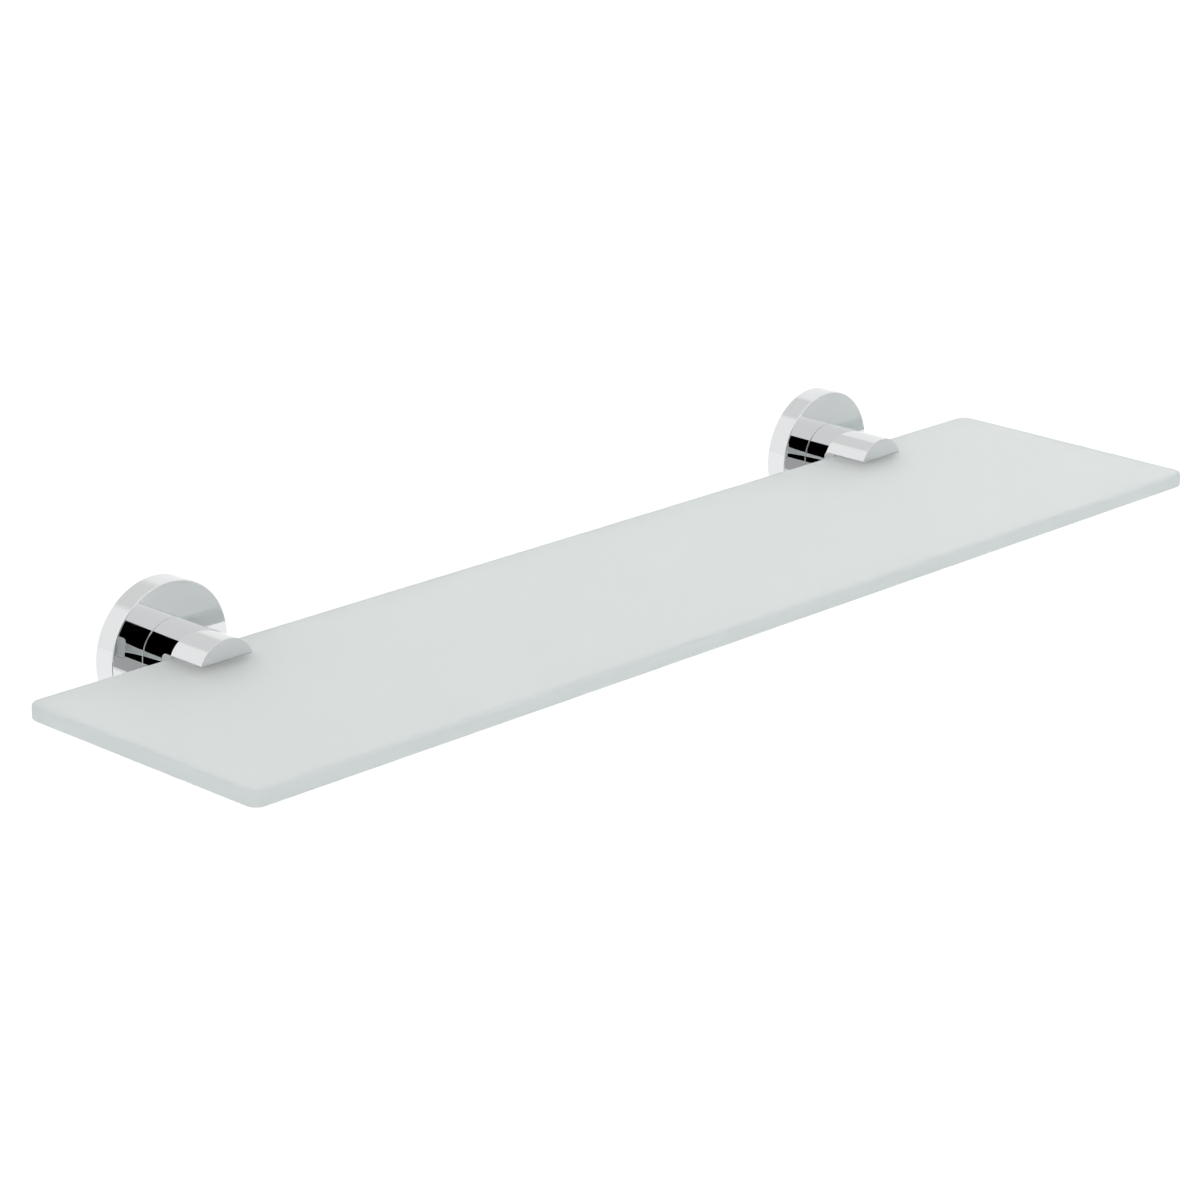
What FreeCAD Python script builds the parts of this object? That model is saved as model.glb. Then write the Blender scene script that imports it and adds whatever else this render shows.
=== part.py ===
"""Bathroom wall shelf: a frosted glass pane held by two round chromed brackets.

Each bracket is a brass plate with two slots for the wall's own screws, a hollow rose that drops over the
plate and is locked to it by a cone-point screw from below, and a round arm bolted to the rose from behind.
The arm's outer end is slotted to take the glass, with a clear U-shaped liner in the slot and a clamp screw
that presses a swivelling pad up against the glass.

Frame: millimetres, +Z up, +X to the right seen from the room. The wall is the plane Y = 0 and the room is
at -Y. The origin is on the wall, midway between the two roses, at the height of their centres.

Each piece is one STEP file in parts/, named after its node. A bracket is modelled once, on the Y axis, and
placed twice. Threads are drawn as rings at the thread's pitch, and tapped holes as plain bores of the
thread's major size.
"""

import FreeCAD
import Part

import math
import os

Vec = FreeCAD.Vector

# ---------------------------------------------------------------- driving sizes, in millimetres
# Glass pane
GLASS_LENGTH = 530.0
GLASS_DEPTH = 120.0
GLASS_THICKNESS = 6.5
GLASS_CORNER_RADIUS = 5.0      # rounding of the four corners, seen from above
GLASS_EDGE_RADIUS = 1.4        # ground rounding along the upper and lower edges
GLASS_TOP_HEIGHT = 5.0         # glass's upper face above the brackets' axis
WALL_GAP = 24.5                # wall to the glass's back edge

# Brackets
BRACKET_SPACING = 373.0        # between the two axes
ROSE_DIAMETER = 55.0
ROSE_DEPTH = 9.5               # wall to the rose's front face
ROSE_RIM_WALL = 3.0
ROSE_FACE_WALL = 2.2
ROSE_EDGE_RADIUS = 0.4
ROSE_BACK_CHAMFER = 0.3
ARM_DIAMETER = 26.6
ARM_REACH = 41.0               # wall to the front end of the jaws
ARM_EDGE_RADIUS = 0.2
ARM_BASE_RADIUS = 0.4          # leaves a fine groove where the arm meets the rose

# Wall plate, inside the rose
PLATE_THICKNESS = 5.0
PLATE_UNDERCUT = 2.5           # how much smaller the plate's radius is at the wall
PLATE_BORE_DIAMETER = 16.0     # clears the arm screw's head
PLATE_EDGE_BREAK = 0.2

# Slots for the wall's countersunk screws, two per plate, one above the other
WALL_SCREW_SPACING = 30.0
WALL_SCREW_DIAMETER = 4.0
WALL_SCREW_HEAD_DIAMETER = 8.0
WALL_SCREW_HEAD_RIM = 0.3      # straight rim of the head, above its cone
SLOT_TRAVEL = 1.5              # sideways adjustment either way

# Arm screw, lock washer and locating pin, inside the rose
ARM_SCREW_DIAMETER = 6.0
ARM_SCREW_PITCH = 1.0
ARM_SCREW_LENGTH = 12.0
ARM_SCREW_HEAD_DIAMETER = 10.0
ARM_SCREW_HEAD_HEIGHT = 4.0
ARM_SCREW_SOCKET_FLATS = 5.0
ARM_SCREW_SOCKET_DEPTH = 2.5
ARM_TAPPED_DEPTH = 9.0
WASHER_DIAMETER = 11.8
WASHER_BORE_DIAMETER = 6.3
WASHER_THICKNESS = 1.5
WASHER_SPLIT = 1.0
PIN_DIAMETER = 2.5
PIN_LENGTH = 6.0
PIN_HEIGHT = 8.0               # above the bracket's axis
PIN_END_CHAMFER = 0.3

# Rose lock screw, up through the bottom of the rim
LOCK_SCREW_DIAMETER = 4.0
LOCK_SCREW_PITCH = 0.7
LOCK_SCREW_LENGTH = 4.0
LOCK_SCREW_CONE = 1.6
LOCK_SCREW_FROM_WALL = 2.6
LOCK_SCREW_SOCKET_FLATS = 2.0
LOCK_SCREW_SOCKET_DEPTH = 1.6

# Liner, clamp pad and clamp screw, in the arm's slot and lower jaw
SLOT_ROOT_RADIUS = 2.0         # rounding of the slot's two inner corners
LINER_THICKNESS = 0.3
LINER_STOP = 4.8               # solid part of the liner behind the glass, which the glass stops against
LINER_SETBACK = 0.2            # how far the liner's edges stay inside the jaws
CLAMP_SCREW_DIAMETER = 6.0
CLAMP_SCREW_PITCH = 1.0
CLAMP_SCREW_LENGTH = 6.0
CLAMP_SCREW_SOCKET_FLATS = 3.0
CLAMP_SCREW_SOCKET_DEPTH = 2.6
CLAMP_SCREW_DOG_DIAMETER = 3.4
CLAMP_SCREW_DOG_LENGTH = 0.9
CLAMP_PAD_DIAMETER = 5.6
CLAMP_PAD_HEIGHT = 3.0
CLAMP_FROM_JAW_END = 8.0       # the clamp's axis, back from the jaws' front end

# Clearances and small breaks
THREAD_CLEARANCE = 0.05        # radial, screw to its tapped bore
PASS_CLEARANCE = 0.25          # radial, screw through a plain hole
ROSE_CLEARANCE = 0.2           # radial, rose over the wall plate
FLANK_CLEARANCE = 0.05         # lock screw's point to the plate's undercut flank
SEAT_CLEARANCE = 0.05          # screw head to its countersink
DOG_CLEARANCE = 0.08           # radial, clamp screw's dog point in the pad
PIN_CLEARANCE = 0.02
THREAD_DEPTH_SHARE = 0.5       # ring depth as a share of the pitch
THREAD_CREST_SHARE = 0.2       # flat of each ring's crest as a share of the pitch
GLASS_EDGE_LIMIT = 0.45        # largest edge rounding as a share of the glass's thickness
SAME = 1e-4                    # two lengths closer than this are the same
SCREW_END_CHAMFER = 0.3
CUT_MARGIN = 1.0               # how far cutting tools run past the faces they cut

# ---------------------------------------------------------------- sizes that follow from them
ROSE_RADIUS = ROSE_DIAMETER / 2
ROSE_INNER_RADIUS = ROSE_RADIUS - ROSE_RIM_WALL
ROSE_INNER_FACE = ROSE_DEPTH - ROSE_FACE_WALL
ARM_RADIUS = ARM_DIAMETER / 2
PLATE_RADIUS = ROSE_INNER_RADIUS - ROSE_CLEARANCE
GLASS_BOTTOM_HEIGHT = GLASS_TOP_HEIGHT - GLASS_THICKNESS
SLOT_TOP = GLASS_TOP_HEIGHT + LINER_THICKNESS
SLOT_BOTTOM = GLASS_BOTTOM_HEIGHT - LINER_THICKNESS
SLOT_BACK = WALL_GAP - LINER_STOP
CLAMP_FROM_WALL = ARM_REACH - CLAMP_FROM_JAW_END
CLAMP_BORE_RADIUS = CLAMP_SCREW_DIAMETER / 2 + THREAD_CLEARANCE

BRACKETS = {"left": -BRACKET_SPACING / 2, "right": BRACKET_SPACING / 2}
OUTWARD = Vec(0, -1, 0)        # from the wall into the room
UP = Vec(0, 0, 1)
DOWN = Vec(0, 0, -1)


# ---------------------------------------------------------------- shared shapes
def on_axis(from_wall, z=0.0):
    """A point at a distance from the wall, above a bracket's axis by z."""
    return Vec(0, -from_wall, z)


def turned(profile):
    """A solid of revolution about Z from (radius, height) corners, radius first."""
    points = [Vec(radius, 0, height) for radius, height in profile]
    face = Part.Face(Part.makePolygon(points + points[:1]))
    return face.revolve(Vec(0, 0, 0), UP, 360)


def aim(shape, direction, start):
    """Moves a shape made along +Z from the origin so that it runs along direction from start."""
    placed = shape.copy()
    placed.Placement = FreeCAD.Placement(start, FreeCAD.Rotation(UP, direction))
    return placed


def rod(diameter, length, start, direction):
    """A plain cylinder."""
    return Part.makeCylinder(diameter / 2, length, start, direction)


def block(x_low, x_high, near_wall, far_from_wall, z_low, z_high):
    """A box between two distances from the wall."""
    corner = Vec(x_low, -far_from_wall, z_low)
    return Part.makeBox(x_high - x_low, far_from_wall - near_wall, z_high - z_low, corner)


def hexagon(flats, depth, start, direction):
    """A hexagonal prism across the given flats, for a key socket."""
    corner_radius = flats / math.sqrt(3)
    angles = [math.radians(60 * corner) for corner in range(6)]
    corners = [Vec(corner_radius * math.cos(angle), corner_radius * math.sin(angle), 0) for angle in angles]
    prism = Part.Face(Part.makePolygon(corners + corners[:1])).extrude(UP * depth)
    return aim(prism, direction, start)


def thread_profile(diameter, pitch, low, high):
    """Zigzag (radius, height) corners of a ringed thread between two heights."""
    crest = diameter / 2
    root = crest - THREAD_DEPTH_SHARE * pitch
    turns = int((high - low) // pitch)
    spare = (high - low - turns * pitch) / 2
    corners = [(crest, low)]
    half_crest = THREAD_CREST_SHARE * pitch / 2
    for turn in range(turns):
        start = low + spare + turn * pitch
        corners.append((crest, start + half_crest))
        corners.append((root, start + pitch / 2))
        corners.append((crest, start + pitch - half_crest))
    return corners + [(crest, high)]


def round_edges(shape, radius, wanted):
    """Rounds the edges for which wanted(edge) is true."""
    return shape.makeFillet(radius, [edge for edge in shape.Edges if wanted(edge)])


def bevel_edges(shape, size, wanted):
    """Chamfers the edges for which wanted(edge) is true."""
    return shape.makeChamfer(size, [edge for edge in shape.Edges if wanted(edge)])


def is_level(edge, height):
    """True for an edge that lies flat at that height."""
    box = edge.BoundBox
    return abs(box.ZMin - height) < SAME and abs(box.ZMax - height) < SAME


def is_circle(edge, radius, from_wall):
    """True for a full circle of that radius about the bracket's axis, at that distance from the wall."""
    curve = edge.Curve
    if not isinstance(curve, Part.Circle):
        return False
    return abs(curve.Radius - radius) < SAME and abs(curve.Center.y + from_wall) < SAME


# ---------------------------------------------------------------- glass
def glass_shelf():
    """The pane, with rounded corners and ground edges."""
    half = GLASS_LENGTH / 2
    pane = block(-half, half, WALL_GAP, WALL_GAP + GLASS_DEPTH, GLASS_BOTTOM_HEIGHT, GLASS_TOP_HEIGHT)
    upright = GLASS_THICKNESS - SAME
    pane = round_edges(pane, GLASS_CORNER_RADIUS, lambda edge: edge.BoundBox.ZLength > upright)
    edge_radius = min(GLASS_EDGE_RADIUS, GLASS_THICKNESS * GLASS_EDGE_LIMIT)
    faces = (GLASS_BOTTOM_HEIGHT, GLASS_TOP_HEIGHT)
    return round_edges(pane, edge_radius, lambda edge: any(is_level(edge, height) for height in faces))


# ---------------------------------------------------------------- wall plate
def screw_slot(height):
    """The countersunk sideways slot for one wall screw, as a cutting tool."""
    bore = WALL_SCREW_DIAMETER / 2 + PASS_CLEARANCE
    rim = WALL_SCREW_HEAD_DIAMETER / 2 + SEAT_CLEARANCE
    profile = [
        (0, -CUT_MARGIN),
        (bore, -CUT_MARGIN),
        (bore, PLATE_THICKNESS - WALL_SCREW_HEAD_RIM - (rim - bore)),
        (rim, PLATE_THICKNESS - WALL_SCREW_HEAD_RIM),
        (rim, PLATE_THICKNESS + CUT_MARGIN),
        (0, PLATE_THICKNESS + CUT_MARGIN),
    ]
    outline = profile[1:-1]
    section = [Vec(radius, 0, up) for radius, up in outline]
    section += [Vec(-radius, 0, up) for radius, up in reversed(outline)]
    middle = Part.Face(Part.makePolygon(section + section[:1])).extrude(Vec(0, 2 * SLOT_TRAVEL, 0))
    middle.translate(Vec(0, -SLOT_TRAVEL, 0))
    round_end = turned(profile)
    ends = [round_end.copy(), round_end.copy()]
    for end, way in zip(ends, (-1, 1)):
        end.translate(Vec(0, way * SLOT_TRAVEL, 0))
    tool = middle.fuse(ends).removeSplitter()
    tool.rotate(Vec(0, 0, 0), UP, 90)
    tool.rotate(Vec(0, 0, 0), Vec(1, 0, 0), 90)
    tool.translate(on_axis(0, z=height))
    return tool


def wall_plate():
    """The turned brass plate that is screwed to the wall: its flank is undercut towards the wall."""
    back_radius = PLATE_RADIUS - PLATE_UNDERCUT
    bore = PLATE_BORE_DIAMETER / 2
    plate = turned(
        [
            (bore, 0),
            (back_radius, 0),
            (PLATE_RADIUS, PLATE_THICKNESS - PLATE_EDGE_BREAK),
            (PLATE_RADIUS - PLATE_EDGE_BREAK, PLATE_THICKNESS),
            (bore, PLATE_THICKNESS),
        ]
    )
    plate = aim(plate, OUTWARD, Vec(0, 0, 0))
    for height in (WALL_SCREW_SPACING / 2, -WALL_SCREW_SPACING / 2):
        plate = plate.cut(screw_slot(height))
    return plate


# ---------------------------------------------------------------- rose and what is inside it
def wall_rose():
    """The hollow chromed rose, open at the wall."""
    rose = turned(
        [
            (0, ROSE_INNER_FACE),
            (ROSE_INNER_RADIUS, ROSE_INNER_FACE),
            (ROSE_INNER_RADIUS, 0),
            (ROSE_RADIUS, 0),
            (ROSE_RADIUS, ROSE_DEPTH),
            (0, ROSE_DEPTH),
        ]
    )
    rose = aim(rose, OUTWARD, Vec(0, 0, 0))
    rose = round_edges(rose, ROSE_EDGE_RADIUS, lambda edge: is_circle(edge, ROSE_RADIUS, ROSE_DEPTH))
    rose = bevel_edges(rose, ROSE_BACK_CHAMFER, lambda edge: is_circle(edge, ROSE_RADIUS, 0))
    through = ROSE_FACE_WALL + 2 * CUT_MARGIN
    start = ROSE_INNER_FACE - CUT_MARGIN
    screw_hole = rod(ARM_SCREW_DIAMETER + 2 * PASS_CLEARANCE, through, on_axis(start), OUTWARD)
    pin_hole = rod(PIN_DIAMETER + 2 * PIN_CLEARANCE, through, on_axis(start, z=PIN_HEIGHT), OUTWARD)
    lock_hole = rod(
        LOCK_SCREW_DIAMETER + 2 * THREAD_CLEARANCE,
        ROSE_RIM_WALL + 2 * CUT_MARGIN,
        on_axis(LOCK_SCREW_FROM_WALL, z=-(ROSE_INNER_RADIUS - CUT_MARGIN)),
        DOWN,
    )
    return rose.cut([screw_hole, pin_hole, lock_hole])


def rose_lock_screw():
    """The cone-point screw in the rim: its point bears on the plate's undercut flank."""
    outer = LOCK_SCREW_DIAMETER / 2
    point = outer - LOCK_SCREW_CONE
    flank_slope = PLATE_UNDERCUT / (PLATE_THICKNESS - PLATE_EDGE_BREAK)
    flank_radius = PLATE_RADIUS - PLATE_UNDERCUT + flank_slope * (LOCK_SCREW_FROM_WALL + point)
    tip = flank_radius + FLANK_CLEARANCE
    profile = [(0, 0), (point, 0), (outer, LOCK_SCREW_CONE)]
    profile += thread_profile(LOCK_SCREW_DIAMETER, LOCK_SCREW_PITCH, LOCK_SCREW_CONE, LOCK_SCREW_LENGTH)[1:]
    profile[-1] = (outer, LOCK_SCREW_LENGTH - SCREW_END_CHAMFER)
    profile += [(outer - SCREW_END_CHAMFER, LOCK_SCREW_LENGTH), (0, LOCK_SCREW_LENGTH)]
    screw = turned(profile)
    socket_start = Vec(0, 0, LOCK_SCREW_LENGTH - LOCK_SCREW_SOCKET_DEPTH)
    socket_cut = LOCK_SCREW_SOCKET_DEPTH + CUT_MARGIN
    screw = screw.cut(hexagon(LOCK_SCREW_SOCKET_FLATS, socket_cut, socket_start, UP))
    return aim(screw, DOWN, on_axis(LOCK_SCREW_FROM_WALL, z=-tip))


def arm_screw():
    """The socket-head screw that bolts the arm to the rose from behind."""
    head = ARM_SCREW_HEAD_DIAMETER / 2
    shank = ARM_SCREW_DIAMETER / 2
    neck = ARM_SCREW_HEAD_HEIGHT
    end = neck + ARM_SCREW_LENGTH
    profile = [(0, 0), (head - SCREW_END_CHAMFER, 0), (head, SCREW_END_CHAMFER), (head, neck)]
    profile.append((shank, neck))
    thread_start = neck + WASHER_THICKNESS + ROSE_FACE_WALL
    profile += thread_profile(ARM_SCREW_DIAMETER, ARM_SCREW_PITCH, thread_start, end - SCREW_END_CHAMFER)
    profile += [(shank - SCREW_END_CHAMFER, end), (0, end)]
    screw = turned(profile)
    screw = screw.cut(hexagon(ARM_SCREW_SOCKET_FLATS, ARM_SCREW_SOCKET_DEPTH, Vec(0, 0, 0), UP))
    return aim(screw, OUTWARD, on_axis(ROSE_INNER_FACE - WASHER_THICKNESS - ARM_SCREW_HEAD_HEIGHT))


def arm_lock_washer():
    """The split spring washer under the arm screw's head."""
    inner = WASHER_BORE_DIAMETER / 2
    outer = WASHER_DIAMETER / 2
    ring = turned([(inner, 0), (outer, 0), (outer, WASHER_THICKNESS), (inner, WASHER_THICKNESS)])
    split = Part.makeBox(WASHER_SPLIT, outer + CUT_MARGIN, WASHER_THICKNESS, Vec(-WASHER_SPLIT / 2, 0, 0))
    return aim(ring.cut(split), OUTWARD, on_axis(ROSE_INNER_FACE - WASHER_THICKNESS))


def arm_locating_pin():
    """The pin that keeps the arm from turning on the rose."""
    radius = PIN_DIAMETER / 2
    pin = turned(
        [
            (0, 0),
            (radius - PIN_END_CHAMFER, 0),
            (radius, PIN_END_CHAMFER),
            (radius, PIN_LENGTH - PIN_END_CHAMFER),
            (radius - PIN_END_CHAMFER, PIN_LENGTH),
            (0, PIN_LENGTH),
        ]
    )
    return aim(pin, OUTWARD, on_axis(ROSE_INNER_FACE, z=PIN_HEIGHT))


# ---------------------------------------------------------------- arm and clamp
def is_slot_root(edge):
    """Whether an edge is one of the two along X where the slot's flats meet its back wall."""
    box = edge.BoundBox
    at_back = abs(box.YMax + SLOT_BACK) < SAME and box.YLength < SAME
    return at_back and any(is_level(edge, height) for height in (SLOT_BOTTOM, SLOT_TOP))


def glass_slot(front):
    """The space between the jaws, as far out as front, with its inner corners rounded."""
    wide = ARM_RADIUS + CUT_MARGIN
    space = block(-wide, wide, SLOT_BACK, front, SLOT_BOTTOM, SLOT_TOP)
    return round_edges(space, SLOT_ROOT_RADIUS, is_slot_root)


def arm():
    """The round arm: tapped at its base, slotted at its outer end, bored for the clamp below."""
    body = rod(ARM_DIAMETER, ARM_REACH - ROSE_DEPTH, on_axis(ROSE_DEPTH), OUTWARD)
    body = round_edges(body, ARM_BASE_RADIUS, lambda edge: is_circle(edge, ARM_RADIUS, ROSE_DEPTH))
    body = body.cut(glass_slot(ARM_REACH + CUT_MARGIN))

    def on_jaws(edge):
        box = edge.BoundBox
        at_front = box.YMax < -ARM_REACH + SAME
        along_slot = box.YLength > SAME and any(is_level(edge, height) for height in (SLOT_BOTTOM, SLOT_TOP))
        return at_front or along_slot

    body = round_edges(body, ARM_EDGE_RADIUS, on_jaws)
    tapped = rod(ARM_SCREW_DIAMETER + 2 * THREAD_CLEARANCE, ARM_TAPPED_DEPTH, on_axis(ROSE_DEPTH), OUTWARD)
    pin_depth = PIN_LENGTH - ROSE_FACE_WALL + PIN_END_CHAMFER
    pin_hole = rod(PIN_DIAMETER + 2 * PIN_CLEARANCE, pin_depth, on_axis(ROSE_DEPTH, z=PIN_HEIGHT), OUTWARD)
    jaw = ARM_RADIUS + SLOT_BOTTOM + 2 * CUT_MARGIN
    clamp_bore = rod(2 * CLAMP_BORE_RADIUS, jaw, on_axis(CLAMP_FROM_WALL, z=SLOT_BOTTOM + CUT_MARGIN), DOWN)
    return body.cut([tapped, pin_hole, clamp_bore])


def glass_liner():
    """The clear U-shaped liner between the slot and the glass, with a hole for the clamp pad."""
    wide = ARM_RADIUS + CUT_MARGIN
    front = ARM_REACH - LINER_SETBACK
    glass_space = block(-wide, wide, WALL_GAP, front + CUT_MARGIN, GLASS_BOTTOM_HEIGHT, GLASS_TOP_HEIGHT)
    within_jaws = rod(ARM_DIAMETER - 2 * LINER_SETBACK, ARM_REACH, on_axis(0), OUTWARD)
    pad_hole = rod(
        2 * CLAMP_BORE_RADIUS,
        LINER_THICKNESS + 2 * CUT_MARGIN,
        on_axis(CLAMP_FROM_WALL, z=SLOT_BOTTOM - CUT_MARGIN),
        UP,
    )
    return glass_slot(front).cut(glass_space).common(within_jaws).cut(pad_hole)


def clamp_pad():
    """The nylon pad that the clamp screw presses up against the glass."""
    outer = CLAMP_PAD_DIAMETER / 2
    cup = CLAMP_SCREW_DOG_DIAMETER / 2 + DOG_CLEARANCE
    pad = turned(
        [
            (0, 0),
            (outer - SCREW_END_CHAMFER, 0),
            (outer, SCREW_END_CHAMFER),
            (outer, CLAMP_PAD_HEIGHT),
            (cup, CLAMP_PAD_HEIGHT),
            (cup, CLAMP_PAD_HEIGHT - CLAMP_SCREW_DOG_LENGTH),
            (0, CLAMP_PAD_HEIGHT - CLAMP_SCREW_DOG_LENGTH),
        ]
    )
    return aim(pad, DOWN, on_axis(CLAMP_FROM_WALL, z=GLASS_BOTTOM_HEIGHT))


def clamp_screw():
    """The socket set screw in the lower jaw: its dog point turns in the pad."""
    outer = CLAMP_SCREW_DIAMETER / 2
    dog = CLAMP_SCREW_DOG_DIAMETER / 2
    shoulder = CLAMP_SCREW_DOG_LENGTH
    end = shoulder + CLAMP_SCREW_LENGTH
    profile = [(0, 0), (dog, 0), (dog, shoulder), (outer - SCREW_END_CHAMFER, shoulder)]
    thread_low = shoulder + SCREW_END_CHAMFER
    profile += thread_profile(CLAMP_SCREW_DIAMETER, CLAMP_SCREW_PITCH, thread_low, end - SCREW_END_CHAMFER)
    profile += [(outer - SCREW_END_CHAMFER, end), (0, end)]
    screw = turned(profile)
    socket_start = Vec(0, 0, end - CLAMP_SCREW_SOCKET_DEPTH)
    socket_cut = CLAMP_SCREW_SOCKET_DEPTH + CUT_MARGIN
    screw = screw.cut(hexagon(CLAMP_SCREW_SOCKET_FLATS, socket_cut, socket_start, UP))
    pad_bottom = GLASS_BOTTOM_HEIGHT - CLAMP_PAD_HEIGHT
    return aim(screw, DOWN, on_axis(CLAMP_FROM_WALL, z=pad_bottom + CLAMP_SCREW_DOG_LENGTH))


# ---------------------------------------------------------------- the whole shelf
def bracket_pieces():
    """Every piece of one bracket, on its own axis, by the second half of its node's name."""
    return {
        "wall_plate": wall_plate(),
        "wall_rose": wall_rose(),
        "rose_lock_screw": rose_lock_screw(),
        "arm": arm(),
        "arm_screw": arm_screw(),
        "arm_lock_washer": arm_lock_washer(),
        "arm_locating_pin": arm_locating_pin(),
        "glass_liner": glass_liner(),
        "clamp_pad": clamp_pad(),
        "clamp_screw": clamp_screw(),
    }


def all_nodes():
    """Every node of the shelf by name."""
    nodes = {"glass_shelf": glass_shelf()}
    pieces = bracket_pieces()
    for side, x in BRACKETS.items():
        for name, shape in pieces.items():
            placed = shape.copy()
            placed.translate(Vec(x, 0, 0))
            nodes[f"{side}_{name}"] = placed
    return nodes


def main():
    """Writes one STEP file per node."""
    os.makedirs("parts", exist_ok=True)
    for name, shape in all_nodes().items():
        if not shape.isValid() or shape.Volume <= 0:
            raise ValueError(f"{name} isn't a valid solid")
        shape.exportStep(os.path.join("parts", name + ".step"))
        print(f"{name}: {len(shape.Solids)} solid(s), {shape.Volume:.1f} mm3")


main()
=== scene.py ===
"""Looks for a bathroom wall shelf: satin glass, two polished chrome brackets and the hardware inside them.

A piece is shaped in its own space, in millimetres, with +Z along its own axis, and is then aimed and
set down in the shelf's frame, in metres. Where each piece goes, and its main sizes, are read from the
frame's nodes.
"""

import logging
import math
from collections.abc import Iterable, Sequence
from dataclasses import dataclass, field
from enum import Enum
from typing import ClassVar

import bmesh
import bpy
from mathutils import Matrix, Vector


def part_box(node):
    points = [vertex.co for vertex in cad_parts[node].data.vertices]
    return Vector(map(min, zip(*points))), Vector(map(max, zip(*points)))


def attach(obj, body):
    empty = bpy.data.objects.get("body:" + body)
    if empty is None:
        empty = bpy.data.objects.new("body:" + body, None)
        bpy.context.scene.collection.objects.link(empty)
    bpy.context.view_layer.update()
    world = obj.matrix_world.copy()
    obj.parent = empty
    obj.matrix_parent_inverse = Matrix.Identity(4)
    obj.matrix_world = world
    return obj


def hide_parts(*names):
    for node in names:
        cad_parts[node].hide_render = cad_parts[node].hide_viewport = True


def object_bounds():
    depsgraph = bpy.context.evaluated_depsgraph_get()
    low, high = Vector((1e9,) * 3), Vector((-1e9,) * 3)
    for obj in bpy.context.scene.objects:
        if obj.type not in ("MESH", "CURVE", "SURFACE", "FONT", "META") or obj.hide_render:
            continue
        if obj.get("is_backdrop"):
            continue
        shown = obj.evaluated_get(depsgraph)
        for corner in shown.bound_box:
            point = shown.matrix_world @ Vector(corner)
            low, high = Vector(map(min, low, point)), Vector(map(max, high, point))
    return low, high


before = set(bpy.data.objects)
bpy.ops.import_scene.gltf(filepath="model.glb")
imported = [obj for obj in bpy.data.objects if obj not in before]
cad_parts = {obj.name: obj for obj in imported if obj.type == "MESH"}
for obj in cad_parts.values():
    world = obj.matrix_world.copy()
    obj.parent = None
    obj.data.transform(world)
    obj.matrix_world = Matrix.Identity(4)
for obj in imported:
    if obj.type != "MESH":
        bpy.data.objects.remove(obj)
CAD_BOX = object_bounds()

LOG = logging.getLogger("shelf")

MM = 0.001
TOOL_MARGIN = 1.0              # how far a cutting tool runs past the face it cuts, in millimetres
ROUND_SEGMENTS = 160           # round the rose and the arm
JAW_STEPS = ROUND_SEGMENTS // 2
SIDE_STEPS = 12                # up the arm's side beside the slot's back wall
SMALL_SEGMENTS = 72            # round screws and pads
PIN_SEGMENTS = 48
WASHER_STEPS = 96
ARC_STEPS = 6                  # along each rounded edge
RIDGES_PER_PITCH = 14          # steps along one turn of a thread
SHARP_ANGLE = math.radians(32.0)
SAME_PLACE = 1e-8              # vertices closer than this are one, in metres

Colour = tuple[float, float, float]
Loop = list[Vector]
Ring = list[bmesh.types.BMVert]


# ---------------------------------------------------------------- directions and solvers
class Way(Enum):
    """Directions in the shelf's frame along which a piece's own axis can point."""

    OUT = (0.0, -1.0, 0.0)
    UP = (0.0, 0.0, 1.0)
    DOWN = (0.0, 0.0, -1.0)

    def turn(self) -> Matrix:
        """The rotation that takes +Z to this direction."""
        if self is Way.DOWN:
            return Matrix.Rotation(math.pi, 4, "X")
        return Vector((0, 0, 1)).rotation_difference(Vector(self.value)).to_matrix().to_4x4()


class Sum(Enum):
    """Operations of a Math node, under the names Python uses for them."""

    ADD = "ADD"
    SUBTRACT = "SUBTRACT"
    MULTIPLY = "MULTIPLY"
    DIVIDE = "DIVIDE"
    SINE = "SINE"
    LOWEST = "MINIMUM"
    SIZE = "ABSOLUTE"
    HEADING = "ARCTAN2"
    LIFT = "ARCSINE"


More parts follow.
